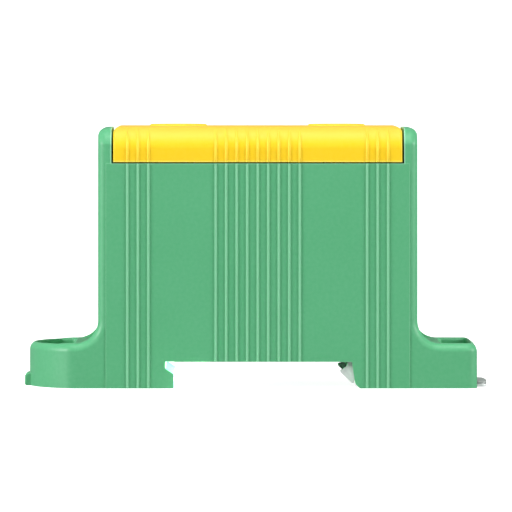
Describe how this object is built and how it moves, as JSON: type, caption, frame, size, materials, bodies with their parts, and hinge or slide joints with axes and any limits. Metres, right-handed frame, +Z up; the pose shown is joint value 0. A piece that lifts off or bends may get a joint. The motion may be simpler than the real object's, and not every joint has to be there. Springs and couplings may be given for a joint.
{
  "type": "din rail terminal block",
  "caption": "Feed-through terminal block for one heavy cable on each side: green housing with mounting ears, clip-on yellow cover, sprung rail latch and clamping screws.",
  "frame": {"origin": "middle of the flat face that sits on the top of the rail", "axes": "+X along the block from the fixed hook to the sprung latch, +Y along the rail, +Z up from the rail towards the cover"},
  "size_m": [0.0888, 0.0276, 0.0502],
  "materials": {
    "green_polyamide": "semi-matte moulded polyamide",
    "yellow_polyamide": "semi-matte moulded polyamide",
    "tinned_aluminium": "tin plated, satin",
    "zinc_steel": "bright zinc plated",
    "pad_metal": "turned, satin",
    "spring_steel": "drawn spring wire"
  },
  "bodies": {
    "base": {"housing": "green_polyamide", "clamp_block": "tinned_aluminium", "latch_spring": "spring_steel"},
    "lid": {"cover": "yellow_polyamide"},
    "latch": {"rail_latch": "zinc_steel"},
    "left_pad": {"pressure_pad_left": "pad_metal"},
    "right_pad": {"pressure_pad_right": "pad_metal"},
    "left_screw": {"clamp_screw_left": "zinc_steel"},
    "right_screw": {"clamp_screw_right": "zinc_steel"}
  },
  "joints": [
    {"name": "cover_lift", "type": "slide", "parent": "base", "child": "lid", "axis": [0, 0, 1], "range_m": [0, 0.02]},
    {"name": "latch_pull", "type": "slide", "parent": "base", "child": "latch", "axis": [1, 0, 0], "range_m": [0, 0.003], "stiffness_N_per_m": 1200, "springref_m": -0.002, "deforming": ["latch_spring"]},
    {"name": "left_pad_travel", "type": "slide", "parent": "base", "child": "left_pad", "axis": [0, 0, -1], "range_m": [0, 0.012]},
    {"name": "right_pad_travel", "type": "slide", "parent": "base", "child": "right_pad", "axis": [0, 0, -1], "range_m": [0, 0.012]},
    {"name": "left_screw_turn", "type": "hinge", "parent": "left_pad", "child": "left_screw", "pos_m": [-0.0152, 0, 0.03], "axis": [0, 0, -1], "range_deg": [0, 2880]},
    {"name": "right_screw_turn", "type": "hinge", "parent": "right_pad", "child": "right_screw", "pos_m": [0.0152, 0, 0.03], "axis": [0, 0, -1], "range_deg": [0, 2880]}
  ],
  "couplings": [
    {"joint": "left_pad_travel", "follows": "left_screw_turn", "m_per_rad": 0.00023873},
    {"joint": "right_pad_travel", "follows": "right_screw_turn", "m_per_rad": 0.00023873}
  ]
}
